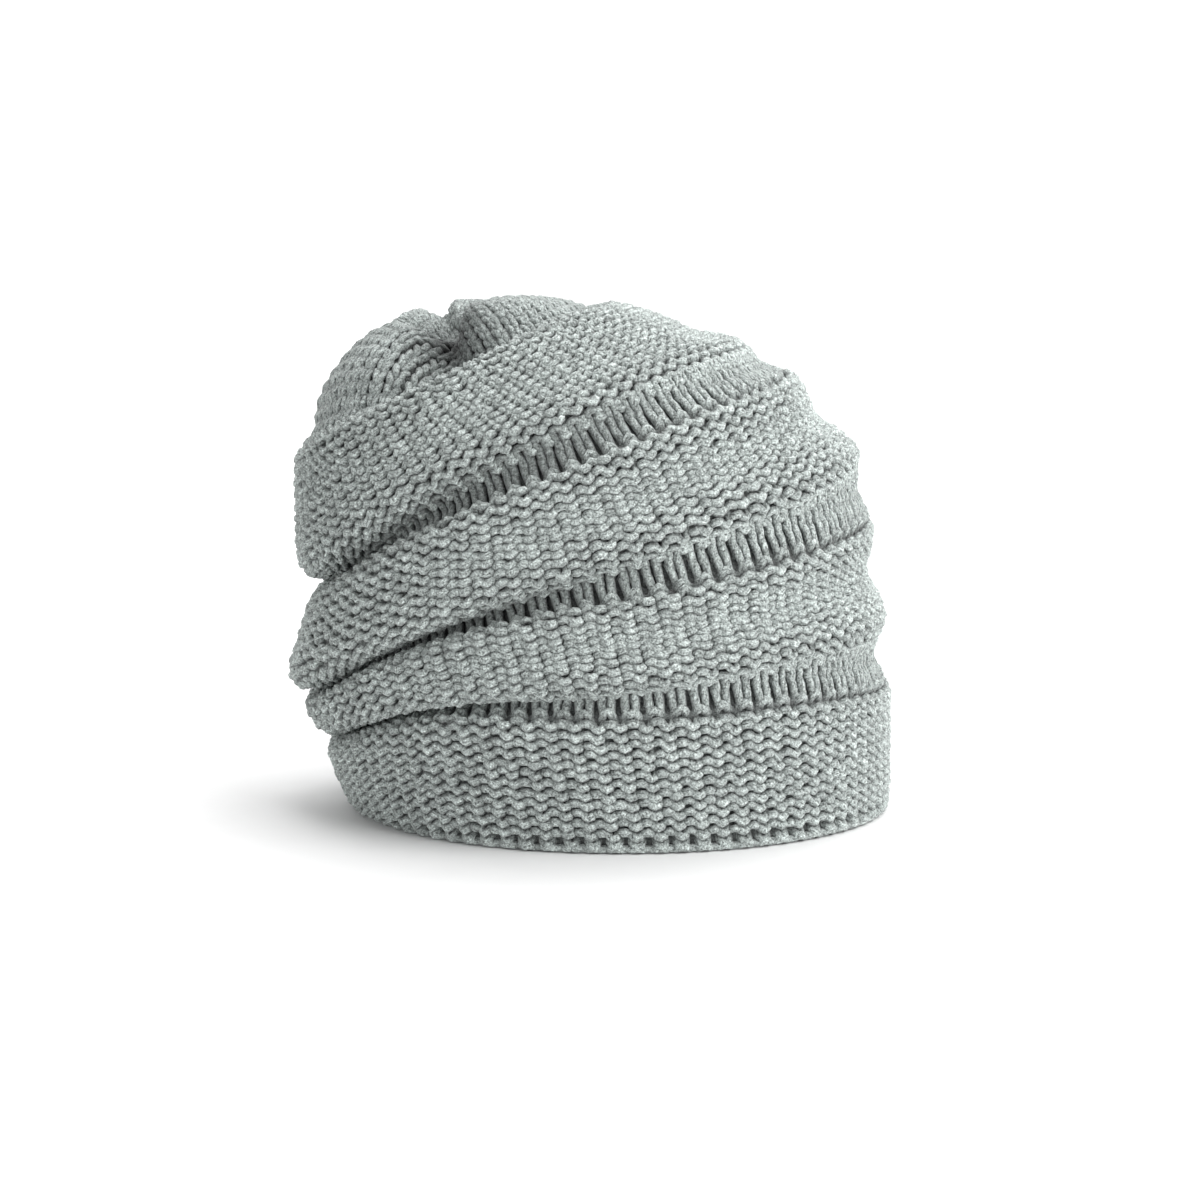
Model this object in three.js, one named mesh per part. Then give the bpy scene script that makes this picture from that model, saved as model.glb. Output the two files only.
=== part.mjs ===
import * as THREE from 'three';

// Scrunch beanie in chunky knit, resting on its hem. A plain purl brim is followed by three purl welts that
// roll outward, each above a recessed channel of knit stitches, and by a dome of knit stitches gathered at
// the crown. The channels stand open at the front and side and fold shut at the back, where the hat is
// scrunched down. Every band is a ring of its own: the wall of the knit between its two edges.
//
// Millimetres, +Z up, +X to the front of the hat, -Y its near side. The hem lies on z = 0, and the origin is
// in the middle of the hat's length and width. An angle runs round the hat from 0 at the front, through 90 on
// the far side and 180 at the back, to 270 on the near side.

const wall = 3.6;              // thickness of the knit
const gap = 0.3;               // between neighbouring bands
const segments = 44;           // facets round the hat
const leastOpening = 2;        // how far a channel stays open where it is folded shut
const openingBlend = 0.8;      // softens the change from an open channel to a shut one
const foldClearance = 0.9;     // extra half width at the bottom of a shut fold
const channelSlope = 3;        // how much narrower a channel's floor is than its mouth, on each side
const crownRecess = 2;         // the edge of the crown lies this deep behind the welt's lip
const crownFoot = 0.4;         // and its first course a little deeper
const dentSpread = 0.2;        // half width of a welt's dent, as a share of the welt
const flare = 0.001;           // small step for directions, in radians and in steps

// Where the hem, the middle line of each channel and the edge of the crown run round the hat. heights are
// given at even angles from front to back. slope and farDrop make the line run lower on the far side: slope
// evenly across the hat, and farDrop on the far half alone.
const paths = {
  hem: { frontX: 110.9, backX: -84.4, sideY: 83, slope: 0, farDrop: 0, heights: [0, 0, 0, 0, 0] },
  channel_lower: {
    frontX: 108.4, backX: -96.8, sideY: 88, slope: 0, farDrop: 0, heights: [57.2, 60.3, 55.5, 44.9, 26.5],
  },
  channel_middle: {
    frontX: 100.7, backX: -106.8, sideY: 84, slope: 0, farDrop: 0,
    heights: [119.5, 112.8, 94.5, 65.5, 42.5],
  },
  channel_upper: {
    frontX: 64.5, backX: -96.8, sideY: 80, slope: 1.5, farDrop: 4,
    heights: [167, 163.4, 140.3, 107.6, 85],
  },
  crown: {
    frontX: 3.6, backX: -105.4, sideY: 55, slope: 3, farDrop: 6,
    heights: [187, 183.2, 164.1, 146.8, 136.6],
  },
};

// Each channel at even angles from front to back: how wide it stands open, how deep it lies behind the lips
// of its welts, how far down its walls the knit stitches begin, and how much its surface leans inward.
const channels = {
  channel_lower: {
    open: [15.2, 12.8, 5.6, 1, 1], depth: [2.8, 3.4, 18], sink: [0, 0, 10], lean: [14, 3, -20],
  },
  channel_middle: {
    open: [17, 14.5, 8.2, 1, 1], depth: [1.6, 3.6, 18], sink: [0, 1, 10], lean: [15, 8, -14],
  },
  channel_upper: {
    open: [12.5, 13.5, 11.5, 5.5, 1], depth: [1.6, 3, 12], sink: [0, 0, 5], lean: [58, 26, 0],
  },
};

// Each welt and the brim at front, side and back: how far it bulges, how much more at its lower lip than at
// its upper one, and the shallow dent between its lips, which is centred at dentAt from its lower edge.
const welts = {
  brim: { bulge: [0.6, 0.8, 3.8], skew: [0, 0, 1], dent: [0, 0.5, 0], dentAt: 0.5 },
  welt_lower: { bulge: [3.2, 5.5, 2], skew: [1.6, 0.5, 0.3], dent: [7.4, 4, 0], dentAt: 0.54 },
  welt_middle: { bulge: [3.6, 6, 6], skew: [0.6, 0.5, 0.5], dent: [6.2, 2.3, 0], dentAt: 0.51 },
  welt_upper: { bulge: [2.9, 5.6, 7.6], skew: [0.9, 0.5, 4], dent: [4, 1.7, 0], dentAt: 0.3 },
};

// Corners of a welt's line between its two edges, and the share of the bulge that each reaches.
const weltCorners = [
  { at: 0.03, rise: 0.9 }, { at: 0.14, rise: 1 }, { at: 0.3, rise: 1 }, { at: 0.5, rise: 1 },
  { at: 0.7, rise: 1 }, { at: 0.86, rise: 1 }, { at: 0.97, rise: 0.9 },
];
const brimCorners = [
  { at: 0.18, rise: 1 }, { at: 0.45, rise: 1 }, { at: 0.72, rise: 1 }, { at: 1, rise: 1 },
];

// The dome: its gathering point beside the middle of its edge, the height there, the height of its lobes and
// how full they are, both from front to back, how steeply they rise, and the radius of the pit as a share.
const dome = {
  forward: 8, sideways: -10, floor: 11, lobes: [17, 23.5, 30, 30.5, 28.5], fullness: [1.6, 2, 2.5],
  steepness: 0.65, foot: 0.92, pit: 0.23,
};
const domeCorners = [0.93, 0.88, 0.79, 0.68, 0.56, 0.44, 0.32, 0.21, 0.11];

// The hollow on the near side, in which the pit runs out to the edge: its direction and half width in
// degrees, where it is deepest and how far it spreads as shares, its depth, and how far in the lobes start.
const hollow = { angle: -91, width: 27, at: 0.55, spread: 0.28, depth: 8.5, setBack: 0.32 };

// Folds gathered into the pit: the direction, the half width in degrees and the depth as a share of the lobe.
const gathers = [
  { angle: -92, width: 26, depth: 1 },       // the wide valley on the near side, over the hollow
  { angle: 88, width: 11, depth: 0.3 },      // the notch on the far side
  { angle: 10, width: 11, depth: 0.14 },
  { angle: 50, width: 11, depth: 0.12 },
  { angle: 140, width: 12, depth: 0.1 },
  { angle: -132, width: 13, depth: 0.09 },
  { angle: -38, width: 12, depth: 0.14 },
];

// The bands from the hem up. A band's line is walked in equal steps and rounded off, so that the knit never
// bends tighter than its own thickness allows. outside and inside are its rows of facets.
const bands = [
  { name: 'brim', below: 'hem', above: 'channel_lower', steps: 9, outside: 9, inside: 6, colour: 0xaab2af },
  { name: 'channel_lower', steps: 3, outside: 4, inside: 3, colour: 0x8d9693 },
  {
    name: 'welt_lower', below: 'channel_lower', above: 'channel_middle',
    steps: 7, outside: 9, inside: 7, colour: 0xaab2af,
  },
  { name: 'channel_middle', steps: 3, outside: 4, inside: 3, colour: 0x8d9693 },
  {
    name: 'welt_middle', below: 'channel_middle', above: 'channel_upper',
    steps: 9, outside: 10, inside: 8, colour: 0xaab2af,
  },
  { name: 'channel_upper', steps: 3, outside: 4, inside: 3, colour: 0x8d9693 },
  {
    name: 'welt_upper', below: 'channel_upper', above: 'crown',
    steps: 10, outside: 11, inside: 8, colour: 0xaab2af,
  },
  { name: 'crown', steps: 12, outside: 12, inside: 9, colour: 0xa3aba8 },
];

const point = (x, y, z) => new THREE.Vector3(x, y, z);
const shifted = (from, direction, distance) => from.clone().addScaledVector(direction, distance);

// A value at an angle, by a cosine series through the values given at even angles from front to back.
function round(values, angle) {
  const last = values.length - 1;
  let total = 0;
  for (let n = 0; n <= last; n += 1) {
    let weight = 0;
    values.forEach((value, k) => {
      const share = k === 0 || k === last ? 0.5 : 1;
      weight += share * value * Math.cos(Math.PI * n * k / last);
    });
    const twice = n === 0 || n === last ? 1 : 2;
    total += twice * weight * Math.cos(n * angle) / last;
  }
  return total;
}

// A point of a path: an ellipse seen from above, with its height from the cosine series.
function pathPoint(path, angle) {
  const middle = (path.frontX + path.backX) / 2;
  const reach = (path.frontX - path.backX) / 2;
  const side = Math.sin(angle);
  const far = Math.max(side, 0);
  const height = round(path.heights, angle) - path.slope * side - path.farDrop * far * far;
  return point(middle + reach * Math.cos(angle), path.sideY * Math.sin(angle), height);
}

function pathDirection(path, angle) {
  return pathPoint(path, angle + flare).sub(pathPoint(path, angle - flare)).normalize();
}

function pathOutward(path, angle) {
  const reach = (path.frontX - path.backX) / 2;
  return point(path.sideY * Math.cos(angle), reach * Math.sin(angle), 0).normalize();
}

// A channel at an angle: its middle, the direction up its surface, the direction out of it, and its sizes.
function channelSection(name, angle) {
  const path = paths[name];
  const channel = channels[name];
  const along = pathDirection(path, angle);
  const lean = THREE.MathUtils.degToRad(round(channel.lean, angle));
  const up = pathOutward(path, angle).multiplyScalar(-Math.sin(lean)).add(point(0, 0, Math.cos(lean)));
  up.addScaledVector(along, -up.dot(along)).normalize();
  const spare = (round(channel.open, angle) - leastOpening) / openingBlend;
  const open = leastOpening + openingBlend * Math.log1p(Math.exp(spare));
  return {
    middle: pathPoint(path, angle),
    up,
    out: along.clone().cross(up),
    half: (open + wall) / 2,
    depth: round(channel.depth, angle) + wall / 2,
    sink: round(channel.sink, angle) + wall / 2,
  };
}

// The corners of a welt or the brim between two edge points: out from the straight line between them.
function weltLine(name, low, high, along, angle) {
  const welt = welts[name];
  const rise = high.clone().sub(low);
  const out = along.clone().cross(rise).normalize();
  const corners = name === 'brim' ? brimCorners : weltCorners;
  return corners.map((corner) => {
    const bulge = round(welt.bulge, angle) + round(welt.skew, angle) * (1 - 2 * corner.at);
    const offset = (corner.at - welt.dentAt) / dentSpread;
    const dent = round(welt.dent, angle) * Math.exp(-offset * offset);
    return shifted(low, rise, corner.at).addScaledVector(out, bulge * corner.rise - dent - wall / 2);
  });
}

// The plane of the crown's edge: its middle, its normal and its slope towards the front.
function crownPlane() {
  const { frontX, backX, heights } = paths.crown;
  const tilt = Math.atan2(heights[0] - heights[heights.length - 1], frontX - backX);
  return {
    middle: point((frontX + backX) / 2, 0, (heights[0] + heights[heights.length - 1]) / 2),
    normal: point(-Math.sin(tilt), 0, Math.cos(tilt)),
    forward: point(Math.cos(tilt), 0, Math.sin(tilt)),
  };
}

// How fully a valley or hollow acts at an angle: a bell curve round its own direction.
function nearness(fold, angle) {
  const degrees = THREE.MathUtils.radToDeg(angle);
  const turn = THREE.MathUtils.euclideanModulo(degrees - fold.angle + 180, 360) - 180;
  return Math.exp(-((turn / fold.width) ** 2));
}

// The dome from its edge to the gathering point. Lobes stand round a pit, and each gather presses a valley
// between two of them.
function domeLine(edge, angle) {
  const plane = crownPlane();
  const pole = shifted(plane.middle, plane.forward, dome.forward).add(point(0, dome.sideways, 0));
  const pressed = gathers.reduce((sum, gather) => sum + gather.depth * nearness(gather, angle), 0);
  const near = nearness(hollow, angle);
  const foot = dome.foot - hollow.setBack * near;
  const line = domeCorners.map((share) => {
    const inner = Math.min(share / foot, 1);
    const floor = dome.floor * (1 - inner * inner);
    const shape = (1 - inner ** round(dome.fullness, angle)) ** dome.steepness;
    const rim = 1 - Math.exp(-((share / dome.pit) ** 4));
    const lobe = (round(dome.lobes, angle) - floor) * (1 - pressed) * shape * rim;
    const offset = (share - hollow.at) / hollow.spread;
    const sunk = hollow.depth * near * Math.exp(-offset * offset) + (share > foot ? crownFoot : 0);
    return pole.clone().lerp(edge, share).addScaledVector(plane.normal, floor + lobe - sunk - wall / 2);
  });
  return [...line, shifted(pole, plane.normal, dome.floor - wall / 2)];
}

// The corners of every band's middle line at an angle, from the hem to the gathering point.
function cornerLines(angle) {
  const lines = {};
  const outward = pathOutward(paths.hem, angle);
  let low = pathPoint(paths.hem, angle);
  let start = [shifted(low, outward, -wall / 2)];
  bands.forEach((band) => {
    if (!band.above) return;
    const along = pathDirection(paths[band.below], angle);
    along.add(pathDirection(paths[band.above], angle)).normalize();
    if (band.above === 'crown') {
      const edge = pathPoint(paths.crown, angle);
      const sunk = shifted(edge, crownPlane().normal, -crownRecess);
      lines[band.name] = [...start, ...weltLine(band.name, low, edge, along, angle), sunk];
      lines.crown = [sunk, ...domeLine(edge, angle)];
      return;
    }
    const { middle, up, out, half, depth, sink } = channelSection(band.above, angle);
    const floorHalf = Math.max(wall / 2 + foldClearance, half - channelSlope);
    const place = (across, inward) => shifted(middle, up, across).addScaledVector(out, -inward);
    const high = place(-half, 0);
    const corners = weltLine(band.name, low, high, along, angle);
    lines[band.name] = [...start, ...corners, place(-half, wall / 2), place(-half, sink)];
    const floorCorners = [place(-floorHalf, depth), place(floorHalf, depth)];
    lines[band.above] = [place(-half, sink), ...floorCorners, place(half, sink)];
    start = [place(half, sink), place(half, wall / 2)];
    low = place(half, 0);
  });
  return lines;
}

// A line of corners walked in equal steps.
function walk(corners, steps) {
  const lengths = [0];
  for (let i = 1; i < corners.length; i += 1) {
    lengths.push(lengths[i - 1] + corners[i].distanceTo(corners[i - 1]));
  }
  const total = lengths[lengths.length - 1];
  const walked = [];
  let leg = 1;
  for (let i = 0; i <= steps; i += 1) {
    const length = total * i / steps;
    while (leg < corners.length - 1 && lengths[leg] < length) leg += 1;
    const share = (length - lengths[leg - 1]) / (lengths[leg] - lengths[leg - 1]);
    walked.push(corners[leg - 1].clone().lerp(corners[leg], Math.min(share, 1)));
  }
  return walked;
}

// The middle line of the whole hat at an angle, with one more point past each end for the rounding.
function middleLine(angle) {
  const lines = cornerLines(angle);
  const line = [];
  bands.forEach((band) => {
    const walked = walk(lines[band.name], band.steps);
    line.push(...(line.length ? walked.slice(1) : walked));
  });
  const last = line.length - 1;
  const before = line[0].clone().multiplyScalar(2).sub(line[1]);
  const after = line[last].clone().multiplyScalar(2).sub(line[last - 1]);
  return [before, ...line, after];
}

// A point of the rounded line, as a cubic B-spline over its steps.
function splinePoint(line, step) {
  const first = Math.min(Math.floor(step), line.length - 4);
  const t = step - first;
  const weights = [(1 - t) ** 3, 3 * t ** 3 - 6 * t ** 2 + 4, -3 * t ** 3 + 3 * t ** 2 + 3 * t + 1, t ** 3];
  const sum = point(0, 0, 0);
  weights.forEach((weight, i) => sum.addScaledVector(line[first + i], weight / 6));
  return sum;
}

// The middle lines at every angle, each with its two close neighbours, from which the surface's normal comes.
const totalSteps = bands.reduce((sum, band) => sum + band.steps, 0);
const lines = Array.from({ length: segments }, (_, i) => {
  const angle = 2 * Math.PI * i / segments;
  return { here: middleLine(angle), before: middleLine(angle - flare), after: middleLine(angle + flare) };
});

// A point of the outer or inner face: off the middle line along the normal. The hem's edge stays level.
function facePoint(line, step, offset) {
  const place = splinePoint(line.here, step);
  const inside = THREE.MathUtils.clamp(step, flare, totalSteps - flare);
  const up = splinePoint(line.here, inside + flare).sub(splinePoint(line.here, inside - flare));
  const along = splinePoint(line.after, inside).sub(splinePoint(line.before, inside));
  const normal = along.cross(up);
  if (step === 0) normal.z = 0;
  return place.addScaledVector(normal.normalize(), offset);
}

// The steps at which a band's rows of facets lie, with half the gap left at each end that has a neighbour.
function rowSteps(line, from, to, count) {
  const trim = (step) => {
    const length = splinePoint(line.here, step + flare).distanceTo(splinePoint(line.here, step));
    return flare * gap / 2 / length;
  };
  const first = from === 0 ? 0 : from + trim(from);
  const last = to === totalSteps ? to : to - trim(to);
  return Array.from({ length: count + 1 }, (_, i) => first + (last - first) * i / count);
}

// Rows of facet corners over one face of a band, from its lower edge to its upper one. The dome's face ends
// in a single point.
function faceRows(from, to, count, offset) {
  const steps = lines.map((line) => rowSteps(line, from, to, count));
  const rows = steps[0].map((_, i) => lines.map((line, j) => facePoint(line, steps[j][i], offset)));
  if (to === totalSteps) {
    const pole = splinePoint(lines[0].here, totalSteps);
    rows[count] = [shifted(pole, crownPlane().normal, offset)];
  }
  return rows;
}

// A closed body from rows of points, each row joined to the next, and the last to the first. That last strip
// is a band's lower end wall: its facets are split the same way as the upper end wall of the band below.
function wrap(rows) {
  const positions = [];
  const starts = [];
  rows.forEach((row) => {
    starts.push(positions.length / 3);
    row.forEach((place) => positions.push(place.x, place.y, place.z));
  });
  const index = [];
  rows.forEach((row, i) => {
    const next = (i + 1) % rows.length;
    const above = rows[next];
    for (let j = 0; j < segments; j += 1) {
      const k = (j + 1) % segments;
      const [a, b] = [starts[i] + j, starts[i] + k];
      const [c, d] = [starts[next] + k, starts[next] + j];
      if (next === 0) index.push(a, b, d, b, c, d);
      else if (row.length > 1 && above.length > 1) index.push(a, b, c, a, c, d);
      else if (row.length > 1) index.push(a, b, starts[next]);
      else if (above.length > 1) index.push(starts[i], c, d);
    }
  });
  const geometry = new THREE.BufferGeometry();
  geometry.setAttribute('position', new THREE.Float32BufferAttribute(positions, 3));
  geometry.setIndex(index);
  geometry.computeVertexNormals();
  return geometry;
}

const group = new THREE.Group();
let from = 0;
bands.forEach((band) => {
  const to = from + band.steps;
  const outer = faceRows(from, to, band.outside, wall / 2);
  const inner = faceRows(from, to, band.inside, -wall / 2);
  const material = new THREE.MeshStandardMaterial({ color: band.colour, roughness: 0.95, metalness: 0 });
  const mesh = new THREE.Mesh(wrap([...outer, ...inner.reverse()]), material);
  mesh.name = band.name;
  group.add(mesh);
  from = to;
});

export default group;
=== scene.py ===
import math
import bpy
import numpy as np
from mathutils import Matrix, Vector


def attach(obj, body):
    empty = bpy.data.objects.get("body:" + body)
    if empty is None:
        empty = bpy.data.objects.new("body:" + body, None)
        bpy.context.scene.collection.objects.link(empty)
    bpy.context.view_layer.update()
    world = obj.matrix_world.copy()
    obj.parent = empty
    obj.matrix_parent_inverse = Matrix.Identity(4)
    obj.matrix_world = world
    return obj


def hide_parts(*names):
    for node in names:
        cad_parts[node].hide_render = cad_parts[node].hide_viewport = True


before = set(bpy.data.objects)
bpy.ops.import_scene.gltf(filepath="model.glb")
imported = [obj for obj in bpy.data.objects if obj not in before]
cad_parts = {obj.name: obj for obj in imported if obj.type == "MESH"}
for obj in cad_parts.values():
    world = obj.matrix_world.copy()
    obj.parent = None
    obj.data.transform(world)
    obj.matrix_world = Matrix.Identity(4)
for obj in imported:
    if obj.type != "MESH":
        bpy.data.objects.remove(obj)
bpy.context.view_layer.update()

# The surface is worked out in millimetres, and meshes are stored in metres. An angle runs round the hat from
# 0 at the front, through 90 degrees on the far side and 180 at the back, to 270 on the near side. smallTurn
# is the step, in radians, over which the direction of a path is measured.
millimetre = 0.001
smallTurn = 0.001

# The form of the knit in millimetres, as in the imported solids. wall is its thickness. A channel opens by no
# less than leastOpening, which openingBlend rounds off. Its floor is narrower than its opening by
# channelSlope on each side, but leaves at least foldClearance on each side of the middle between its walls.
# crownRecess and crownFoot are how deep the crown's edge and its first corners lie, and dentSpread is how
# wide a dent is, as a share of its welt.
wall = 3.6
leastOpening = 2.0
openingBlend = 0.8
foldClearance = 0.9
channelSlope = 3.0
crownRecess = 2.0
crownFoot = 0.4
dentSpread = 0.2

# Where the hem, the middle line of each channel and the edge of the crown run, with heights at even angles
# from front to back. slope and farDrop make the line run lower on the far side.
paths = {
    "hem": {
        "frontX": 110.9, "backX": -84.4, "sideY": 83.0, "slope": 0.0, "farDrop": 0.0,
        "heights": [0, 0, 0, 0, 0],
    },
    "channel_lower": {
        "frontX": 108.4, "backX": -96.8, "sideY": 88.0, "slope": 0.0, "farDrop": 0.0,
        "heights": [57.2, 60.3, 55.5, 44.9, 26.5],
    },
    "channel_middle": {
        "frontX": 100.7, "backX": -106.8, "sideY": 84.0, "slope": 0.0, "farDrop": 0.0,
        "heights": [119.5, 112.8, 94.5, 65.5, 42.5],
    },
    "channel_upper": {
        "frontX": 64.5, "backX": -96.8, "sideY": 80.0, "slope": 1.5, "farDrop": 4.0,
        "heights": [167, 163.4, 140.3, 107.6, 85],
    },
    "crown": {
        "frontX": 3.6, "backX": -105.4, "sideY": 55.0, "slope": 3.0, "farDrop": 6.0,
        "heights": [187, 183.2, 164.1, 146.8, 136.6],
    },
}

# Each channel from front to back: how wide it opens, how deep it lies, how far down its walls the knit
# stitches begin, and how much its surface leans inward.
channels = {
    "channel_lower": {
        "open": [15.2, 12.8, 5.6, 1, 1], "depth": [2.8, 3.4, 18], "sink": [0, 0, 10], "lean": [14, 3, -20],
    },
    "channel_middle": {
        "open": [17, 14.5, 8.2, 1, 1], "depth": [1.6, 3.6, 18], "sink": [0, 1, 10], "lean": [15, 8, -14],
    },
    "channel_upper": {
        "open": [12.5, 13.5, 11.5, 5.5, 1], "depth": [1.6, 3, 12], "sink": [0, 0, 5], "lean": [58, 26, 0],
    },
}

# The brim and each welt at front, side and back: the bulge, how much more of it is at the lower lip, and the
# dent between the lips.
welts = {
    "brim": {"bulge": [0.6, 0.8, 3.8], "skew": [0, 0, 1], "dent": [0, 0.5, 0], "dentAt": 0.5},
    "welt_lower": {"bulge": [3.2, 5.5, 2], "skew": [1.6, 0.5, 0.3], "dent": [7.4, 4, 0], "dentAt": 0.54},
    "welt_middle": {"bulge": [3.6, 6, 6], "skew": [0.6, 0.5, 0.5], "dent": [6.2, 2.3, 0], "dentAt": 0.51},
    "welt_upper": {"bulge": [2.9, 5.6, 7.6], "skew": [0.9, 0.5, 4], "dent": [4, 1.7, 0], "dentAt": 0.3},
}

# Corners of a welt's line and of the brim's: the share of the way up, and the share of the bulge there.
weltCorners = [(0.03, 0.9), (0.14, 1), (0.3, 1), (0.5, 1), (0.7, 1), (0.86, 1), (0.97, 0.9)]
brimCorners = [(0.18, 1), (0.45, 1), (0.72, 1), (1, 1)]

# The dome over the crown's edge: the gathering point's place against the middle of the edge, the heights of
# the pit's floor and of the lobes from front to back, how full and how steep the lobes are, and, as shares of
# the way out from the gathering point, where the lobes end and how wide the pit is. The corners of its line
# are given the same way. The hollow and the gathers press it in round their angles, in degrees.
dome = {
    "forward": 8.0, "sideways": -10.0, "floor": 11.0, "lobes": [17, 23.5, 30, 30.5, 28.5],
    "fullness": [1.6, 2, 2.5], "steepness": 0.65, "foot": 0.92, "pit": 0.23,
}
domeCorners = [0.93, 0.88, 0.79, 0.68, 0.56, 0.44, 0.32, 0.21, 0.11]
hollow = {"angle": -91, "width": 27, "at": 0.55, "spread": 0.28, "depth": 8.5, "setBack": 0.32}
gathers = [
    {"angle": -92, "width": 26, "depth": 1},
    {"angle": 88, "width": 11, "depth": 0.3},
    {"angle": 10, "width": 11, "depth": 0.14},
    {"angle": 50, "width": 11, "depth": 0.12},
    {"angle": 140, "width": 12, "depth": 0.1},
    {"angle": -132, "width": 13, "depth": 0.09},
    {"angle": -38, "width": 12, "depth": 0.14},
]

# The bands from the hem up. steps rounds off a band's line, loops names the side of the knit that each of
# its courses shows, and lip is how much taller the courses are beside the band's two edges than halfway, at
# front, side and back. raised moves the courses of a channel up by a share of its width, so that the purl
# bumps that reach into it from each side leave its middle open, and shut is how much painted shade
# darkens it where it folds shut.
channelLoops = 3 * ["channel"] + ["purl"]
bands = [
    {"name": "brim", "below": "hem", "above": "channel_lower", "steps": 9, "loops": 14 * ["purl"],
     "slot": "knit_purl"},
    {"name": "channel_lower", "steps": 3, "loops": channelLoops, "raised": 0.13, "shut": 0.1,
     "slot": "knit_channel"},
    {"name": "welt_lower", "below": "channel_lower", "above": "channel_middle", "steps": 7,
     "loops": 12 * ["purl"], "lip": [0.15, 0.1, -0.45], "slot": "knit_purl"},
    {"name": "channel_middle", "steps": 3, "loops": channelLoops, "raised": 0.13, "shut": 0.4,
     "slot": "knit_channel"},
    {"name": "welt_middle", "below": "channel_middle", "above": "channel_upper", "steps": 9,
     "loops": 13 * ["purl"], "lip": [0.15, 0.18, -0.2], "slot": "knit_purl"},
    {"name": "channel_upper", "steps": 3, "loops": channelLoops, "raised": 0.13, "shut": 0.45,
     "slot": "knit_channel"},
    {"name": "welt_upper", "below": "channel_upper", "above": "crown", "steps": 10, "loops": 14 * ["purl"],
     "lip": [0.1, 0.15, 0.05], "slot": "knit_purl"},
    {"name": "crown", "steps": 12, "loops": 14 * ["crown"], "slot": "knit_crown"},
]


# Vectors over their own lengths.
def unit(vectors):
    return vectors / np.linalg.norm(vectors, axis=-1, keepdims=True)


# Value at an angle: a cosine series through values given at even angles from front to back.
def roundHat(values, angle):
    last = len(values) - 1
    total = np.zeros_like(angle)
    for n in range(last + 1):
        weight = sum(
            (0.5 if k in (0, last) else 1) * value * math.cos(math.pi * n * k / last)
            for k, value in enumerate(values)
        )
        total += (1 if n in (0, last) else 2) * weight * np.cos(n * angle) / last
    return total


# Point of a path: an ellipse seen from above, at the height of its cosine series.
def pathPoint(path, angle):
    middle = (path["frontX"] + path["backX"]) / 2
    reach = (path["frontX"] - path["backX"]) / 2
    side = np.sin(angle)
    far = np.maximum(side, 0)
    height = roundHat(path["heights"], angle) - path["slope"] * side - path["farDrop"] * far * far
    return np.stack([middle + reach * np.cos(angle), path["sideY"] * np.sin(angle), height], -1)


# Direction of a path: from a point a small turn behind to a point a small turn ahead.
def pathDirection(path, angle):
    return unit(pathPoint(path, angle + smallTurn) - pathPoint(path, angle - smallTurn))


# Level direction out of a path: the normal of its ellipse.
def pathOutward(path, angle):
    reach = (path["frontX"] - path["backX"]) / 2
    return unit(np.stack([path["sideY"] * np.cos(angle), reach * np.sin(angle), 0 * angle], -1))


# Section of a channel: its middle, the way up its surface, the way out of it, and its sizes. Its opening is a
# soft maximum of the one stated and the least one.
def channelSection(name, angle):
    path = paths[name]
    channel = channels[name]
    along = pathDirection(path, angle)
    lean = np.radians(roundHat(channel["lean"], angle))[:, None]
    up = -np.sin(lean) * pathOutward(path, angle) + np.cos(lean) * np.array([0, 0, 1.0])
    up = unit(up - (up * along).sum(-1, keepdims=True) * along)
    spare = (roundHat(channel["open"], angle) - leastOpening) / openingBlend
    width = leastOpening + openingBlend * np.logaddexp(0, spare)
    return {
        "middle": pathPoint(path, angle), "up": up, "out": np.cross(along, up),
        "half": (width[:, None] + wall) / 2,
        "depth": roundHat(channel["depth"], angle)[:, None] + wall / 2,
        "sink": roundHat(channel["sink"], angle)[:, None] + wall / 2,
    }


# Corners of a welt's line: out from the straight line between its edges by the bulge, less the dent.
def weltLine(name, low, high, along, angle):
    welt = welts[name]
    out = unit(np.cross(along, high - low))
    line = []
    for at, rise in brimCorners if name == "brim" else weltCorners:
        bulge = roundHat(welt["bulge"], angle) + roundHat(welt["skew"], angle) * (1 - 2 * at)
        dent = roundHat(welt["dent"], angle) * math.exp(-((at - welt["dentAt"]) / dentSpread) ** 2)
        line.append(low + (high - low) * at + out * (bulge * rise - dent - wall / 2)[:, None])
    return line


# Plane of the crown's edge: its middle, its normal and the way forward in it, tilted from back to front.
def crownPlane():
    path = paths["crown"]
    front, back = path["heights"][0], path["heights"][-1]
    tilt = math.atan2(front - back, path["frontX"] - path["backX"])
    return {
        "middle": np.array([(path["frontX"] + path["backX"]) / 2, 0, (front + back) / 2]),
        "normal": np.array([-math.sin(tilt), 0, math.cos(tilt)]),
        "forward": np.array([math.cos(tilt), 0, math.sin(tilt)]),
    }


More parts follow.
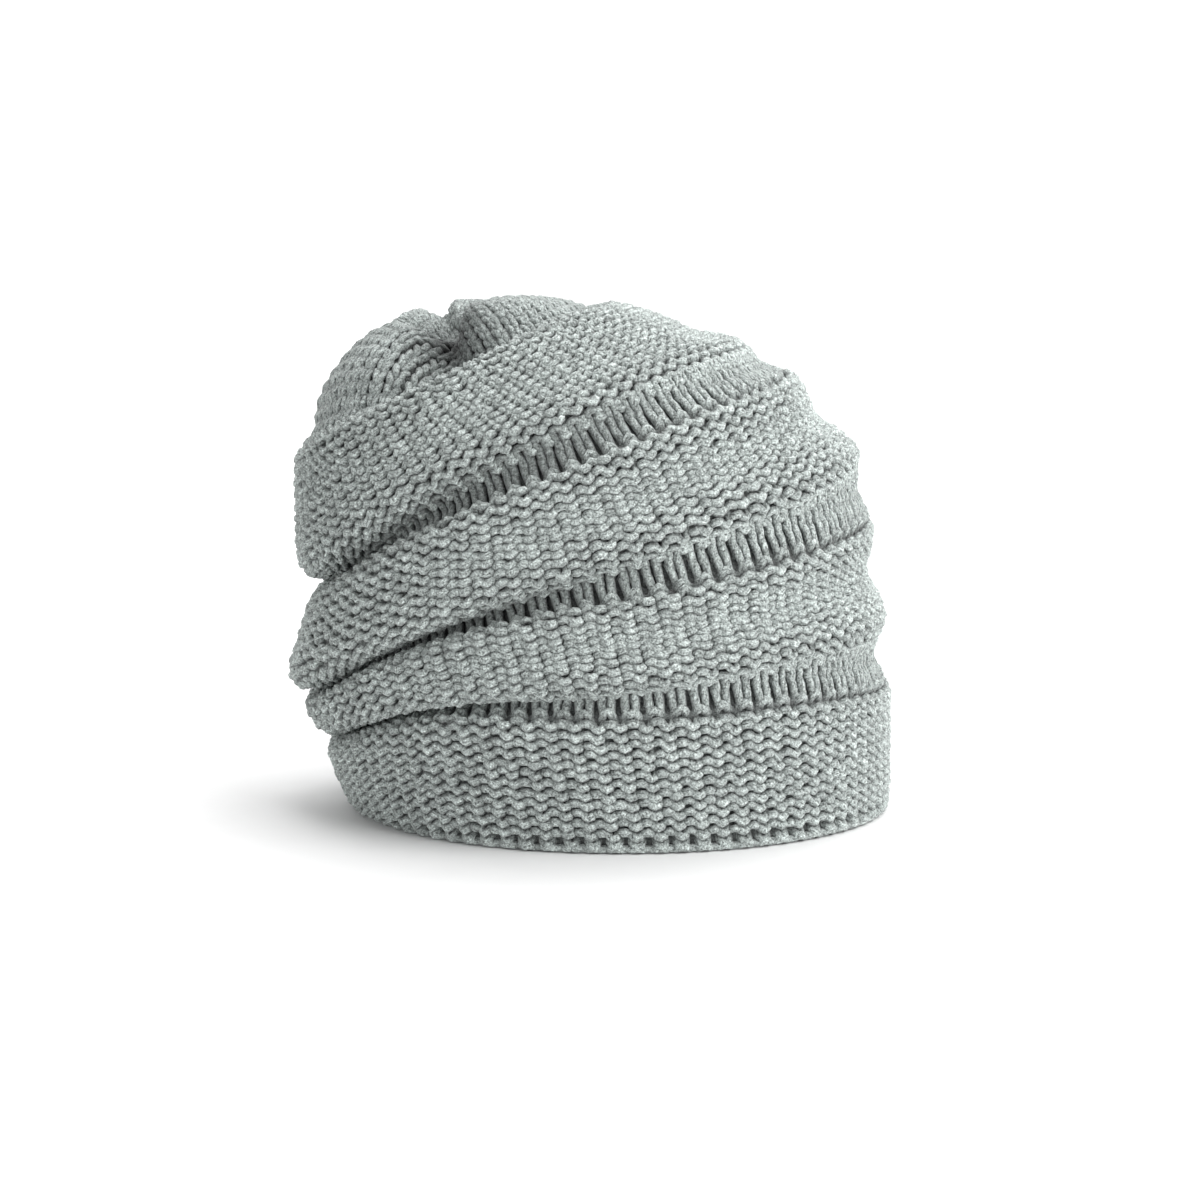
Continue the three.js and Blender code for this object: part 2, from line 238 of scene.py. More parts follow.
# The dome's line from its edge to the gathering point: lobes round a pit, pressed in by the gathers.
def domeLine(edge, angle):
    plane = crownPlane()
    pole = plane["middle"] + plane["forward"] * dome["forward"] + np.array([0, dome["sideways"], 0])
    turn = np.degrees(angle)
    pressed = sum(
        gather["depth"] * np.exp(-(((turn - gather["angle"] + 180) % 360 - 180) / gather["width"]) ** 2)
        for gather in gathers
    )
    near = np.exp(-((turn + 180 - hollow["angle"]) % 360 - 180) ** 2 / hollow["width"] ** 2)
    foot = dome["foot"] - hollow["setBack"] * near
    line = []
    for share in domeCorners:
        inner = np.minimum(share / foot, 1)
        floor = dome["floor"] * (1 - inner * inner)
        shape = (1 - inner ** roundHat(dome["fullness"], angle)) ** dome["steepness"]
        rim = 1 - math.exp(-(share / dome["pit"]) ** 4)
        sunk = hollow["depth"] * near * math.exp(-((share - hollow["at"]) / hollow["spread"]) ** 2)
        sunk = sunk + np.where(share > foot, crownFoot, 0)
        height = floor + (roundHat(dome["lobes"], angle) - floor) * (1 - pressed) * shape * rim - sunk
        line.append(pole + (edge - pole) * share + plane["normal"] * (height - wall / 2)[:, None])
    line.append(np.broadcast_to(pole + plane["normal"] * (dome["floor"] - wall / 2), edge.shape))
    return line


# Point of a channel's section, so far up across it and so far in.
def sectionPoint(section, across, inward):
    return section["middle"] + section["up"] * across - section["out"] * inward


# Corners of every band's middle line at each angle, from the hem to the gathering point.
def cornerLines(angle):
    lines = {}
    low = pathPoint(paths["hem"], angle)
    start = [low - pathOutward(paths["hem"], angle) * wall / 2]
    for band in bands:
        if "above" not in band:
            continue
        above = band["above"]
        along = unit(pathDirection(paths[band["below"]], angle) + pathDirection(paths[above], angle))
        if above == "crown":
            edge = pathPoint(paths["crown"], angle)
            sunk = edge - crownPlane()["normal"] * crownRecess
            lines[band["name"]] = [*start, *weltLine(band["name"], low, edge, along, angle), sunk]
            lines["crown"] = [sunk, *domeLine(edge, angle)]
            continue
        section = channelSection(above, angle)
        half, depth, sink = section["half"], section["depth"], section["sink"]
        floorHalf = np.maximum(wall / 2 + foldClearance, half - channelSlope)
        corners = weltLine(band["name"], low, sectionPoint(section, -half, 0), along, angle)
        shoulder = sectionPoint(section, -half, wall / 2)
        lower = sectionPoint(section, -half, sink)
        upper = sectionPoint(section, half, sink)
        lines[band["name"]] = [*start, *corners, shoulder, lower]
        lines[above] = [
            lower, sectionPoint(section, -floorHalf, depth), sectionPoint(section, floorHalf, depth), upper,
        ]
        start = [upper, sectionPoint(section, half, wall / 2)]
        low = sectionPoint(section, half, 0)
    return lines


# Values at new lengths along every column, between the values at its known lengths.
def alongColumns(lengths, known, values):
    out = np.empty(lengths.shape + (3,))
    for column in range(lengths.shape[1]):
        for axis in range(3):
            out[:, column, axis] = np.interp(
                lengths[:, column], known[:, column], values[:, column, axis]
            )
    return out


# Length walked along every column up to each of its points.
def lengthsAlong(points):
    steps = np.linalg.norm(np.diff(points, axis=0), axis=-1)
    return np.concatenate([np.zeros((1, points.shape[1])), np.cumsum(steps, 0)])


# The rounded middle surface on a fine grid: a cubic B-spline over each line walked in equal steps.
def roundedSurface(angle, fine):
    lines = cornerLines(angle)
    rows = []
    for band in bands:
        corners = np.stack(lines[band["name"]])
        known = lengthsAlong(corners)
        even = np.linspace(0, 1, band["steps"] + 1)[:, None] * known[-1]
        walked = alongColumns(even, known, corners)
        rows.append(walked if not rows else walked[1:])
    controls = np.concatenate(rows)
    controls = np.concatenate([
        [2 * controls[0] - controls[1]], controls, [2 * controls[-1] - controls[-2]],
    ])
    steps = len(controls) - 3
    at = np.arange(steps * fine + 1) / fine
    first = np.minimum(np.floor(at).astype(int), steps - 1)
    t = (at - first)[:, None, None]
    weights = [(1 - t) ** 3, 3 * t ** 3 - 6 * t ** 2 + 4, -3 * t ** 3 + 3 * t ** 2 + 3 * t + 1, t ** 3]
    return sum(weight * controls[first + k] for k, weight in enumerate(weights)) / 6


# How fine the surface is worked out: columns round the hat, rows for each step of a band's line and for each
# course, and how far short of the last row a height stays, in rows.
surfaceGrid = {"columns": 480, "perStep": 16, "perCourse": 8, "margin": 0.001}


# The same surface on a grid of courses, with its normals. A row's place along a band is its share of the
# courses, drawn towards the middle by the lip and up by raised.
def courseGrid():
    angle = 2 * math.pi * np.arange(surfaceGrid["columns"]) / surfaceGrid["columns"]
    surface = roundedSurface(angle, surfaceGrid["perStep"])
    known = lengthsAlong(surface)
    wanted = []
    step = 0
    for band in bands:
        low = known[step * surfaceGrid["perStep"]]
        step += band["steps"]
        high = known[step * surfaceGrid["perStep"]]
        rows = len(band["loops"]) * surfaceGrid["perCourse"]
        share = np.arange(rows + (band is bands[-1]))[:, None] / rows
        lip = roundHat(band.get("lip", [0, 0]), angle)
        raised = band.get("raised", 0) * np.sin(math.pi * share)
        share = share + raised + lip * np.sin(2 * math.pi * share) / (2 * math.pi)
        wanted.append(low + share * (high - low))
    place = alongColumns(np.concatenate(wanted), known, surface)
    up = np.gradient(place, axis=0)
    along = np.roll(place, -1, 1) - np.roll(place, 1, 1)
    along[-1] = along[-2]
    normal = unit(np.cross(along, up))
    return place, normal


place, normal = courseGrid()
courseLoops = sum((band["loops"] for band in bands), [])
print("surface worked out,", len(courseLoops), "courses")


# Point and normal at an angle and a height in courses, between the four nearest points of the grid.
def onSurface(angle, height):
    column = (angle / (2 * math.pi)) % 1 * surfaceGrid["columns"]
    row = np.clip(height * surfaceGrid["perCourse"], 0, len(place) - 1 - surfaceGrid["margin"])
    left = np.floor(column).astype(int)
    below = np.floor(row).astype(int)
    x = (column - left)[..., None]
    y = (row - below)[..., None]
    left %= surfaceGrid["columns"]
    right = (left + 1) % surfaceGrid["columns"]
    found = []
    for values in (place, normal):
        low = values[below, left] * (1 - x) + values[below, right] * x
        high = values[below + 1, left] * (1 - x) + values[below + 1, right] * x
        found.append(low * (1 - y) + high * y)
    return found[0], unit(found[1])


# Stitches: sectors round the hat, from the angle start on, with the number of stitches in a sector at heights
# in courses. Where it falls, the last stitch of each sector narrows away, though not beyond narrowest, and it
# is left out of a row at whose middle no more than leftOut of it is there. points and sides are how many
# there are along the yarn of a stitch and round it, and flat is the yarn's thickness against its width. lift
# is how far the middle of the knit lies off the middle of the wall, and crowded draws a stitch's points
# towards its head and foot. hemRise and hemFoot place the feet of the first course, and leastHeight keeps the
# yarn above the plane that the hat rests on.
stitches = {
    "sectors": 7, "start": 0.35,
    "heights": [0, 62, 65, 67.5, 70, 72, 73.5, 74.5, 75.5, 76.3, 77, 79],
    "counts": [11, 11, 10, 9, 8, 7, 6, 5, 4, 3, 2, 1],
    "points": 12, "sides": 6, "radius": 1.5, "flat": 0.9, "hemRise": 0.55,
    "lift": -0.9, "narrowest": 0.3, "leftOut": 0.02, "crowded": 0.35, "hemFoot": -0.6, "leastHeight": 0.05,
}

# Loops by the side of the knit that they show. ends is how far out their heads and feet lie, legs how far out
# their legs lie, and proud how much further out feet are than heads. In widths of a stitch, sway is how far
# the legs swing out, pinch how close the two legs of a stitch stand, and lean how far its head lies beside
# its feet. thickness is that of the yarn against its usual one, rise half the height of a loop in courses,
# and short how short its ends are, where 2 is a plain wave.
loops = {
    "purl": {
        "ends": 1.8, "legs": -1.8, "proud": 0.25, "sway": 0.12, "pinch": 0, "thickness": 1.12,
        "rise": 1.25, "short": 3, "lean": 0.015,
    },
    "channel": {
        "ends": -1.4, "legs": 1.4, "proud": 0, "sway": 0.15, "pinch": 0.035, "thickness": 1.1,
        "rise": 1.2, "short": 2, "lean": 0,
    },
    "crown": {
        "ends": -1.3, "legs": 1.3, "proud": 0, "sway": 0.21, "pinch": 0.05, "thickness": 0.97,
        "rise": 0.88, "short": 2, "lean": 0,
    },
}

# How unevenly the yarn lies along a row, up and down, and in and out, and how its thickness varies.
randomness = {"seed": 7, "along": 0.045, "height": 0.07, "depth": 0.16, "radius": 0.05}
randomSource = np.random.default_rng(randomness["seed"])


# Smooth wander along a row: random values at every half stitch, with straight changes between them.
def wander(at, count, size):
    nodes = randomSource.normal(0, size, 2 * count)
    nodes = np.append(nodes, nodes[0])
    return np.interp(at * 2, np.arange(2 * count + 1), nodes)


# The line raised where its yarn would reach under the plane that the hat rests on.
def aboveFloor(line, radius):
    line[:, 2] = np.maximum(line[:, 2], radius + stitches["leastHeight"])
    return line


# One row of stitches as the middle line of its yarn. Each loop sways by the sine of twice its phase and
# rises by the cosine. Its head, legs and foot lie in front or behind, as the stitches above and here are.
def yarnRow(course, loop, loopAbove):
    sectors = stitches["sectors"]
    middle = course + 1.0
    whole = np.interp(middle, stitches["heights"], stitches["counts"])
    count = int(math.ceil(whole - stitches["leftOut"]))
    samples = count * stitches["points"]
    even = np.tile(np.arange(samples) / stitches["points"], sectors)
    at = even - stitches["crowded"] * np.sin(4 * math.pi * even) / (4 * math.pi)
    sector = np.repeat(np.arange(sectors), samples)
    total = sectors * count
    distance = at + sector * count
    phase = 2 * math.pi * at - math.pi
    top = np.cos(phase)
    rise = np.where(top < 0, stitches["hemRise"] if course == 0 else loop["rise"], loop["rise"])
    height = middle + rise * top + wander(distance, total, randomness["height"])
    across = at + loop["sway"] * np.sin(2 * phase) - loop["pinch"] * np.sin(phase)
    across = across + loop["lean"] * top + wander(distance, total, randomness["along"])
    left = np.interp(height, stitches["heights"], stitches["counts"]) - (count - 1)
    left = np.clip(left, stitches["narrowest"], 1)
    share = (np.minimum(across, count - 1) + left * np.maximum(across - count + 1, 0)) / (count - 1 + left)
    angle = stitches["start"] + 2 * math.pi * (sector + share) / sectors
    foot = stitches["hemFoot"] if course == 0 else loop["ends"]
    ends = np.where(top > 0, loopAbove["ends"], foot)
    end = np.abs(top) ** loop["short"]
    off = stitches["lift"] + end * ends + (1 - end) * loop["legs"] - loop["proud"] * top
    off = off + wander(distance, total, randomness["depth"])
    point, out = onSurface(angle, height)
    radius = stitches["radius"] * loop["thickness"] * (1 + wander(distance, total, randomness["radius"]))
    return aboveFloor(point + out * off[:, None], radius), out, radius, off


# Painted shade on the yarn's colour: dark on its flanks and where it lies behind other loops, as seen from
# either side of the knit, between front and back, which are how far out and in the yarn lies at most. deepest
# and flank are the painted shades of the yarn furthest behind and of its flanks. In the crown's pit the
# painted shade is darker by pit in the middle, and in the channels it darkens from shutFrom to shutTo along
# the hat, where they fold shut.
shades = {
    "front": 1.1, "back": -2.7, "deepest": 0.08, "flank": 0.74, "pit": 0.95, "pitReach": 17.0,
    "pitMiddle": place[-1, 0] + np.array([-1, -5, -2]), "shutFrom": 40.0, "shutTo": -20.0,
}


# Painted shade of the pit: one less a bell curve of the distance from the pit's middle.
def pitShade(points):
    distance = np.linalg.norm(points - shades["pitMiddle"], axis=-1)
    return 1 - shades["pit"] * np.exp(-(distance / shades["pitReach"]) ** 2)


# Painted shade of a channel: it falls evenly along the hat, by shut in all, to where the channel is
# folded shut.
def foldShade(points, shut):
    along = (shades["shutFrom"] - points[..., 0]) / (shades["shutFrom"] - shades["shutTo"])
    return 1 - shut * np.clip(along, 0, 1)


# Painted shade of the yarn: the product of the painted shades of its depth, its flank and the pit. A side's
# facing runs from -1 on the inner side of the knit to 1 on the outer side, and openness is 1 for yarn that
# lies foremost on the side that it faces.
def yarnShade(points, facing, off):
    forward = np.clip((off - shades["back"]) / (shades["front"] - shades["back"]), 0, 1)[:, None]
    openness = 0.5 + (forward - 0.5) * facing
    depth = shades["deepest"] + (1 - shades["deepest"]) * openness
    flank = shades["flank"] + (1 - shades["flank"]) * np.abs(facing)
    return depth * flank * pitShade(points)


# A closed tube round a closed line: rings of sides, started on the inner side of the knit.
def tube(line, out, radius, off, sides):
    along = unit(np.roll(line, -1, 0) - np.roll(line, 1, 0))
    front = unit(out - (out * along).sum(-1, keepdims=True) * along)
    side = np.cross(along, front)
    turn = 2 * math.pi * (np.arange(sides) + 0.5) / sides
    facing = -np.cos(turn)[None] / math.cos(math.pi / sides)
    ring = -stitches["flat"] * np.cos(turn)[None, :, None] * front[:, None]
    ring = ring + np.sin(turn)[None, :, None] * side[:, None]
    points = line[:, None] + radius[:, None, None] * ring
    count = len(line)
    first = np.arange(count)[:, None]
    second = (first + 1) % count
    turn = np.arange(sides)[None]
    nextTurn = (turn + 1) % sides
    faces = np.stack([
        first * sides + turn, second * sides + turn, second * sides + nextTurn, first * sides + nextTurn,
    ], -1).reshape(-1, 4)
    length = np.concatenate([[0], np.cumsum(np.linalg.norm(np.roll(line, -1, 0) - line, axis=-1))])
    low, high = length[:-1, None], length[1:, None]
    around = 2 * math.pi * stitches["radius"] / sides
    corner = np.stack([
        np.stack(np.broadcast_arrays(low, turn * around), -1),
        np.stack(np.broadcast_arrays(high, turn * around), -1),
        np.stack(np.broadcast_arrays(high, (turn + 1) * around), -1),
        np.stack(np.broadcast_arrays(low, (turn + 1) * around), -1),
    ], 2).reshape(-1, 2)
    shade = yarnShade(points, facing, off)
    return points.reshape(-1, 3), faces, corner, shade.ravel()


# A piece of four-sided faces, with the yarn's coordinates at their corners and its painted shade at
# their points.
def meshObject(name, points, faces, corners, shade, material):
    mesh = bpy.data.meshes.new(name)
    mesh.vertices.add(len(points))
    mesh.vertices.foreach_set("co", (points * millimetre).astype(np.float32).ravel())
    mesh.loops.add(faces.size)
    mesh.loops.foreach_set("vertex_index", faces.astype(np.int32).ravel())
    mesh.polygons.add(len(faces))
    mesh.polygons.foreach_set("loop_start", np.arange(0, faces.size, 4, dtype=np.int32))
    mesh.polygons.foreach_set("use_smooth", np.ones(len(faces), bool))
    layer = mesh.uv_layers.new(name="yarn")
    layer.data.foreach_set("uv", corners.astype(np.float32).ravel())
    mesh.attributes.new("shade", "FLOAT", "POINT").data.foreach_set("value", shade.astype(np.float32))
    mesh.update(calc_edges=True)
    mesh.materials.append(material)
    piece = bpy.data.objects.new(name, mesh)
    bpy.context.scene.collection.objects.link(piece)
    return piece


# A node of a shader tree at its place on the sheet, with its settings.
def node(tree, kind, at, **settings):
    made = tree.nodes.new(kind)
    made.location = at
    for key, value in settings.items():
        setattr(made, key, value)
    return made


# The yarn's look: the sizes and depths of its parts in millimetres, with fibreAlong and fibreAcross as fibres
# to the millimetre, how much fibres, speckles and clouds lighten and darken it, how dark the painted shade
# between two plies is and up to what height of a ply, and the part of a noise's range that is used.
yarnLook = {
    "plies": 3, "lay": 7.0, "fibreAlong": 0.45, "fibreAcross": 3.2, "plyDepth": 0.28, "fibreDepth": 0.18,
    "speckleSize": 0.75, "speckleDepth": 0.42, "cloudSize": 9.0, "fibreSpread": 0.45, "speckleSpread": 0.8,
    "cloudSpread": 0.12, "plyShade": 0.72, "plyEdge": 0.5, "noiseLow": 0.3, "noiseHigh": 0.7,
}


# Look shared by all the yarn: plies twisted round the strand, fine fibres along them, and light and dark
# fibres mixed into the grey. Its factor, which also carries painted shade, is for the material's own colour.
def yarnGroup():
    tree = bpy.data.node_groups.new("yarn look", "ShaderNodeTree")
    tree.interface.new_socket("Factor", in_out="OUTPUT", socket_type="NodeSocketFloat")
    tree.interface.new_socket("Normal", in_out="OUTPUT", socket_type="NodeSocketVector")
    link = tree.links.new
    strand = node(tree, "ShaderNodeUVMap", (-1400, 0), uv_map="yarn")
    along = node(tree, "ShaderNodeSeparateXYZ", (-1200, 0))
    link(strand.outputs[0], along.inputs[0])
    around = 2 * math.pi * stitches["radius"]
    # twisted: the place across the fibres, in millimetres, which turns round the strand along its length
    twist = node(tree, "ShaderNodeMath", (-1000, 0), operation="MULTIPLY_ADD")
    link(along.outputs[0], twist.inputs[0])
    twist.inputs[1].default_value = around / yarnLook["lay"] / yarnLook["plies"]
    link(along.outputs[1], twist.inputs[2])
    wave = node(tree, "ShaderNodeMath", (-800, 100), operation="MULTIPLY")
    link(twist.outputs[0], wave.inputs[0])
    wave.inputs[1].default_value = math.pi * yarnLook["plies"] / around
    crest = node(tree, "ShaderNodeMath", (-600, 100), operation="SINE")
    link(wave.outputs[0], crest.inputs[0])
    ply = node(tree, "ShaderNodeMath", (-400, 100), operation="ABSOLUTE")
    link(crest.outputs[0], ply.inputs[0])
    fibrePlace = node(tree, "ShaderNodeCombineXYZ", (-800, -150))
    stretched = node(tree, "ShaderNodeMath", (-1000, -150), operation="MULTIPLY")
    link(along.outputs[0], stretched.inputs[0])
    stretched.inputs[1].default_value = yarnLook["fibreAlong"]
    thin = node(tree, "ShaderNodeMath", (-1000, -300), operation="MULTIPLY")
    link(twist.outputs[0], thin.inputs[0])
    thin.inputs[1].default_value = yarnLook["fibreAcross"]
    link(stretched.outputs[0], fibrePlace.inputs[0])
    link(thin.outputs[0], fibrePlace.inputs[1])
    fibre = node(tree, "ShaderNodeTexNoise", (-600, -150))
    fibre.inputs["Scale"].default_value = 1.0
    fibre.inputs["Detail"].default_value = 3.0
    fibre.inputs["Roughness"].default_value = 0.6
    link(fibrePlace.outputs[0], fibre.inputs["Vector"])
    spot = node(tree, "ShaderNodeTexCoord", (-1400, -500))
    speckle = node(tree, "ShaderNodeTexNoise", (-1000, -500))
    speckle.inputs["Scale"].default_value = 1 / (yarnLook["speckleSize"] * millimetre)
    speckle.inputs["Detail"].default_value = 2.0
    speckle.inputs["Roughness"].default_value = 0.7
    link(spot.outputs["Object"], speckle.inputs["Vector"])
    cloud = node(tree, "ShaderNodeTexNoise", (-1000, -800))
    cloud.inputs["Scale"].default_value = 1 / (yarnLook["cloudSize"] * millimetre)
    cloud.inputs["Detail"].default_value = 2.0
    link(spot.outputs["Object"], cloud.inputs["Vector"])
    # factor: fibres and speckles spread round one, with a soft cloud, painted shade in lines between the
    # plies, and the painted shade stored at the points
    parts = []
    for source, amount, at in (
        (fibre, yarnLook["fibreSpread"], (-300, -150)), (speckle, yarnLook["speckleSpread"], (-700, -500)),
        (cloud, yarnLook["cloudSpread"], (-700, -800)),
    ):
        spread = node(tree, "ShaderNodeMapRange", at)
        spread.inputs["From Min"].default_value = yarnLook["noiseLow"]
        spread.inputs["From Max"].default_value = yarnLook["noiseHigh"]
        spread.inputs["To Min"].default_value = 1 - amount
        spread.inputs["To Max"].default_value = 1 + amount
        link(source.outputs[0], spread.inputs["Value"])
        parts.append(spread.outputs[0])
    # painted shade: darker lines in the grooves between the plies
    dark = node(tree, "ShaderNodeMapRange", (-200, 100))
    dark.inputs["From Min"].default_value = 0.0
    dark.inputs["From Max"].default_value = yarnLook["plyEdge"]
    dark.inputs["To Min"].default_value = yarnLook["plyShade"]
    dark.inputs["To Max"].default_value = 1.0
    link(ply.outputs[0], dark.inputs["Value"])
    # the painted shade stored at the yarn's points
    shade = node(tree, "ShaderNodeAttribute", (-200, -1000), attribute_name="shade")
    parts.append(shade.outputs["Fac"])
    factor = dark.outputs[0]
    for part in parts:
        product = node(tree, "ShaderNodeMath", (0, part.node.location[1]), operation="MULTIPLY")
        link(factor, product.inputs[0])
        link(part, product.inputs[1])
        factor = product.outputs[0]
    # normal: the plies, the fibres and the speckles raised one on top of the other
    raised = None
    for source, depth, across in (
        (ply, yarnLook["plyDepth"], 200), (fibre, yarnLook["fibreDepth"], 400),
        (speckle, yarnLook["speckleDepth"], 600),
    ):
        bump = node(tree, "ShaderNodeBump", (across, 300))
        bump.inputs["Strength"].default_value = 1.0
        bump.inputs["Distance"].default_value = depth * millimetre
        link(source.outputs[0], bump.inputs["Height"])
        if raised is not None:
            link(raised, bump.inputs["Normal"])
        raised = bump.outputs[0]
    result = node(tree, "NodeGroupOutput", (800, 0))
    link(factor, result.inputs["Factor"])
    link(raised, result.inputs["Normal"])
    return tree


# Yarn of one colour: the shared look times that colour, matt, with the soft sheen of loose fibres. A Mix node
# has its two colours at inputs 6 and 7 and the mixed one at output 2.
def yarnMaterial(name, colour, group):
    material = bpy.data.materials.new(name)
    material.use_nodes = True
    tree = material.node_tree
    shader = tree.nodes["Principled BSDF"]
    shader.inputs["Roughness"].default_value = 0.95
    shader.inputs["Specular IOR Level"].default_value = 0.25
    shader.inputs["Sheen Weight"].default_value = 0.25
    shader.inputs["Sheen Roughness"].default_value = 0.6
    look = node(tree, "ShaderNodeGroup", (-700, 0), node_tree=group)
    tint = node(tree, "ShaderNodeMix", (-400, 100), data_type="RGBA", blend_type="MULTIPLY")
    tint.inputs[0].default_value = 1.0
    tint.inputs[6].default_value = (*colour, 1)
    tree.links.new(look.outputs["Factor"], tint.inputs[7])
    tree.links.new(tint.outputs[2], shader.inputs["Base Color"])
    tree.links.new(look.outputs["Normal"], shader.inputs["Normal"])
    return material


group = yarnGroup()
colours = {
    "knit_purl": (0.445, 0.492, 0.476),
    # the same yarn as the purl, a little darker: painted shade of the recessed channels
    "knit_channel": (0.43, 0.476, 0.46),
    "knit_crown": (0.42, 0.465, 0.45),
    # near black: painted shade, the dark seen through the gaps between the loops
    "backing": (0.055, 0.061, 0.059),
}
materials = {name: yarnMaterial(name, colour, group) for name, colour in colours.items()}

# The backing is a thin sheet in the middle of the knit, which closes the gaps between the loops. Its
# near-black colour is painted shade, the dark seen through those gaps.
backing = {"columns": 132, "perCourse": 1.25, "outer": -0.9, "inner": -1.7, "hem": 0.35}


# A thin closed ring of a band, or a closed cap for the crown: its outer rows up, then its inner rows down.
def backingPiece(name, low, high, shut):
    rows = int(math.ceil((high - low) * backing["perCourse"])) + 1
    height = np.linspace(low, high, rows)
    angle = 2 * math.pi * np.arange(backing["columns"]) / backing["columns"]
    angles, heights = np.meshgrid(angle, height)
    point, out = onSurface(angles, heights)
    points = np.concatenate([point + out * backing["outer"], (point + out * backing["inner"])[::-1]])
    count = len(points)
    column = np.arange(backing["columns"])[None]
    nextColumn = (column + 1) % backing["columns"]
    first = np.arange(count)[:, None] * backing["columns"]
    second = (np.arange(count)[:, None] + 1) % count * backing["columns"]
    faces = np.stack([first + column, first + nextColumn, second + nextColumn, second + column], -1)
    faces = faces.reshape(-1, 4)
    points = points.reshape(-1, 3)
    corners = points[faces.ravel()][:, [0, 2]]
    # painted shade of the pit and of the folded channels, on the backing as well
    shade = pitShade(points) * foldShade(points, shut)
    return meshObject(name, points, faces, corners, shade, materials["backing"])


castOn = {"height": 0.45, "wave": 0.18, "out": 1.2, "wind": 0.6, "radius": 1.6, "points": 8}


# The hem's cast-on edge: a cord that rises and winds outward by a cosine, once for every stitch.
def castOnLine():
    count = stitches["sectors"] * stitches["counts"][0]
    at = np.arange(count * castOn["points"]) / castOn["points"]
    phase = 2 * math.pi * at
    angle = stitches["start"] + 2 * math.pi * at / count
    height = castOn["height"] + castOn["wave"] * np.cos(phase)
    point, out = onSurface(angle, height)
    off = castOn["out"] + stitches["lift"] + castOn["wind"] * np.cos(phase)
    radius = castOn["radius"] * (1 + wander(at, count, randomness["radius"]))
    return aboveFloor(point + out * off[:, None], radius), out, radius, off


# The yarn of the courses from start to stop as one piece, with the cast-on edge under the first of them.
def yarnPiece(name, start, stop, shut, material):
    tubes = []
    if start == 0:
        tubes.append(tube(*castOnLine(), stitches["sides"]))
    for course in range(start, stop):
        yarn = yarnRow(course, loops[courseLoops[course]], loops[courseLoops[course + 1]])
        points, faces, corners, shade = tube(*yarn, stitches["sides"])
        # painted shade: a channel's own courses darken where the channel folds shut
        if courseLoops[course] == "channel":
            shade = shade * foldShade(points, shut)
        tubes.append((points, faces, corners, shade))
    offsets = np.cumsum([0] + [len(points) for points, *_ in tubes])
    points = np.concatenate([points for points, *_ in tubes])
    faces = np.concatenate([faces + offset for (_, faces, *_), offset in zip(tubes, offsets)])
    corners = np.concatenate([corners for _, _, corners, _ in tubes])
    shade = np.concatenate([shade for *_, shade in tubes])
    return meshObject(name, points, faces, corners, shade, material)


# The last course has no row of its own. It is the crown's gathered middle, which the loops under it fill.
lastCourse = len(courseLoops) - 1
start = 0
for band in bands:
    name = band["name"]
    shut = band.get("shut", 0)
    end = start + len(band["loops"])
    stop = min(end, lastCourse)
    yarn = yarnPiece(name + "_yarn", start, stop, shut, materials[band["slot"]])
    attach(yarn, "root")
    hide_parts(name)
    low = backing["hem"] if start == 0 else start
    core = backingPiece(name + "_backing", low, end, shut)
    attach(core, "root")
    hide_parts(name)
    triangles = 2 * (len(yarn.data.polygons) + len(core.data.polygons))
    print(name, "courses", start, "to", stop, "triangles", triangles)
    start = end

# Floor, in metres: from near to bend it is level, and from there it curves up to top in so many steps. Its
# grain runs between two greys.
floor = {
    "half": 3.0, "near": -3.0, "bend": 2.2, "radius": 0.8, "top": 3.0, "steps": 8, "grain": 60.0,
    "greys": (0.80, 0.83),
}


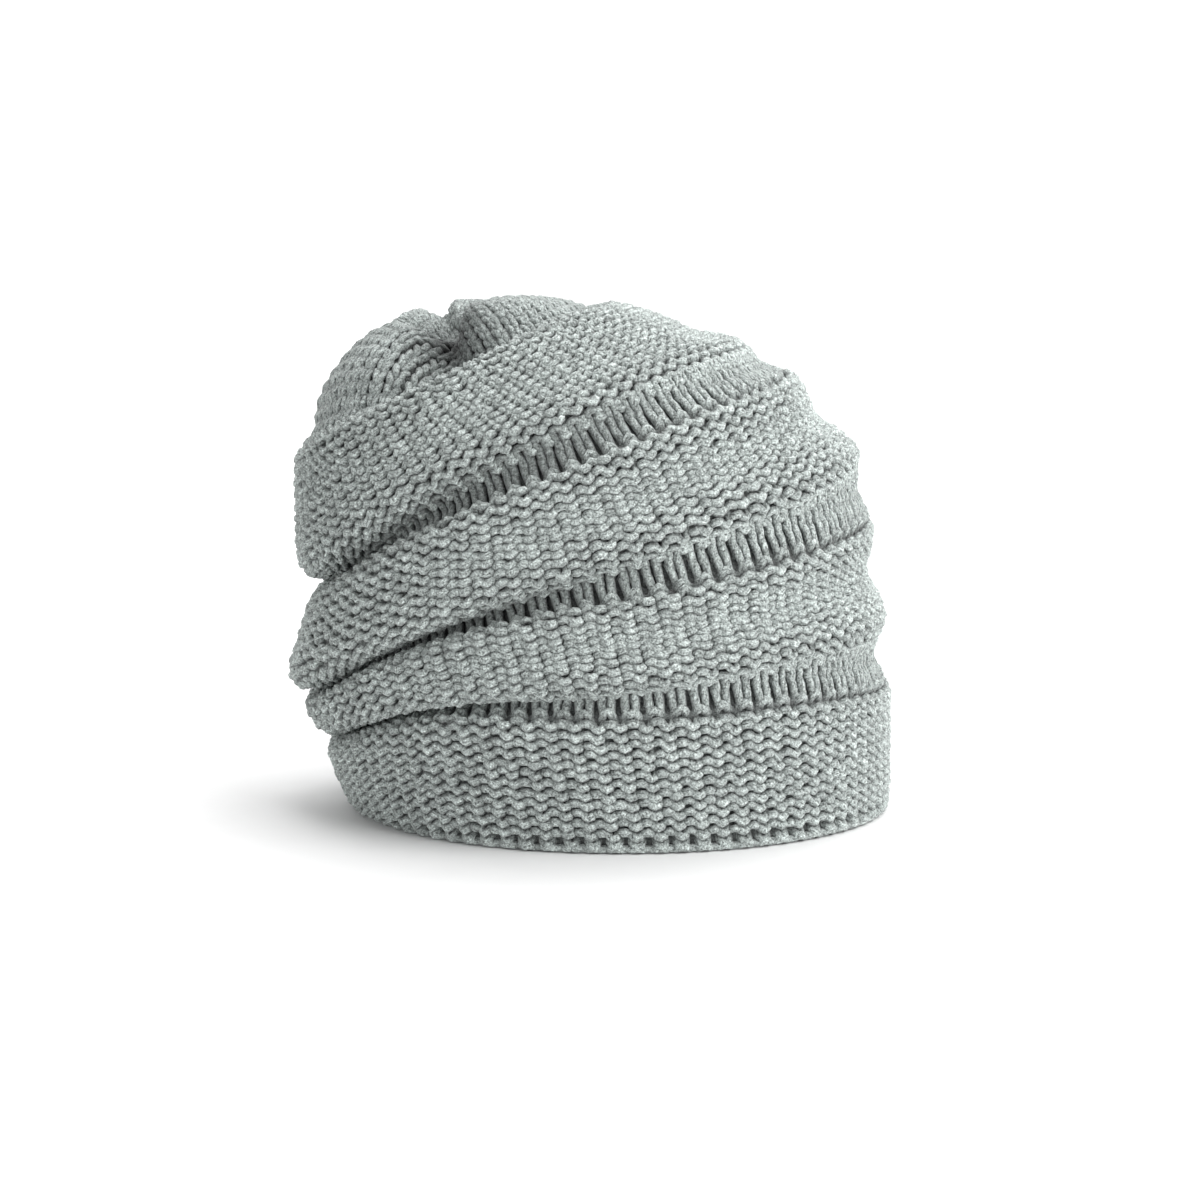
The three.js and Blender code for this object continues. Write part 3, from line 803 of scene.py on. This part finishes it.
# One pale sheet that curves up into a backdrop behind the hat by a quarter of a circle.
def makeFloor():
    profile = [(floor["near"], 0.0), (floor["bend"], 0.0)]
    for k in range(1, floor["steps"] + 1):
        turn = math.pi / 2 * k / floor["steps"]
        profile.append((
            floor["bend"] + floor["radius"] * math.sin(turn), floor["radius"] * (1 - math.cos(turn)),
        ))
    profile.append((floor["bend"] + floor["radius"], floor["top"]))
    points = [(x, y, z) for y, z in profile for x in (-floor["half"], floor["half"])]
    faces = [(2 * k, 2 * k + 1, 2 * k + 3, 2 * k + 2) for k in range(len(profile) - 1)]
    mesh = bpy.data.meshes.new("floor")
    mesh.from_pydata(points, [], faces)
    mesh.polygons.foreach_set("use_smooth", [True] * len(faces))
    mesh.update()
    material = bpy.data.materials.new("floor")
    material.use_nodes = True
    tree = material.node_tree
    shader = tree.nodes["Principled BSDF"]
    shader.inputs["Roughness"].default_value = 0.7
    grain = node(tree, "ShaderNodeTexNoise", (-600, 0))
    grain.inputs["Scale"].default_value = floor["grain"]
    spot = node(tree, "ShaderNodeTexCoord", (-800, 0))
    tree.links.new(spot.outputs["Object"], grain.inputs["Vector"])
    shade = node(tree, "ShaderNodeMix", (-300, 0), data_type="RGBA")
    for socket, grey in zip((6, 7), floor["greys"]):
        shade.inputs[socket].default_value = (grey, grey, grey, 1)
    tree.links.new(grain.outputs[0], shade.inputs[0])
    tree.links.new(shade.outputs[2], shader.inputs["Base Color"])
    mesh.materials.append(material)
    piece = bpy.data.objects.new("floor", mesh)
    bpy.context.scene.collection.objects.link(piece)


makeFloor()

# Camera: on the near side, looking down a little, as far off as the photograph's shape shows.
view = {"target": (0.0036, 0.0, 0.0771), "distance": 1.4, "down": 9.7, "lens": 113.2, "sensor": 36}


# Turns a camera or a lamp so that it looks at the target with its own up side up.
def aim(thing, target):
    direction = Vector(target) - thing.location
    thing.rotation_euler = direction.to_track_quat("-Z", "Y").to_euler()


camera = bpy.data.objects.new("camera", bpy.data.cameras.new("camera"))
bpy.context.scene.collection.objects.link(camera)
camera.data.lens = view["lens"]
camera.data.sensor_width = view["sensor"]
down = math.radians(view["down"])
camera.location = Vector(view["target"]) + view["distance"] * Vector((0, -math.cos(down), math.sin(down)))
aim(camera, view["target"])
bpy.context.scene.camera = camera

# Light: a large soft box at the upper right in front, a fill from the left, one from above, one for the
# backdrop, and a white room. All but the backdrop's face the hat.
lightTarget = (0, 0, 0.08)
roomLight = 0.3
lights = [
    {"name": "key", "at": (1.5, -0.95, 1.0), "size": 1.8, "power": 45},
    {"name": "fill", "at": (-1.2, -1.5, 0.35), "size": 1.4, "power": 13},
    {"name": "top", "at": (0.3, 0.15, 1.7), "size": 1.4, "power": 16},
    {"name": "backdrop", "at": (0.0, 0.9, 1.9), "size": 2.0, "power": 60, "facing": (0.0, 2.6, 0.3)},
]
for light in lights:
    lamp = bpy.data.lights.new(light["name"], "AREA")
    lamp.shape = "SQUARE"
    lamp.size = light["size"]
    lamp.energy = light["power"]
    holder = bpy.data.objects.new(light["name"], lamp)
    bpy.context.scene.collection.objects.link(holder)
    holder.location = light["at"]
    aim(holder, light.get("facing", lightTarget))

world = bpy.data.worlds.new("room")
bpy.context.scene.world = world
world.use_nodes = True
world.node_tree.nodes["Background"].inputs["Color"].default_value = (1, 1, 1, 1)
world.node_tree.nodes["Background"].inputs["Strength"].default_value = roomLight
bpy.context.scene.view_settings.view_transform = "Standard"
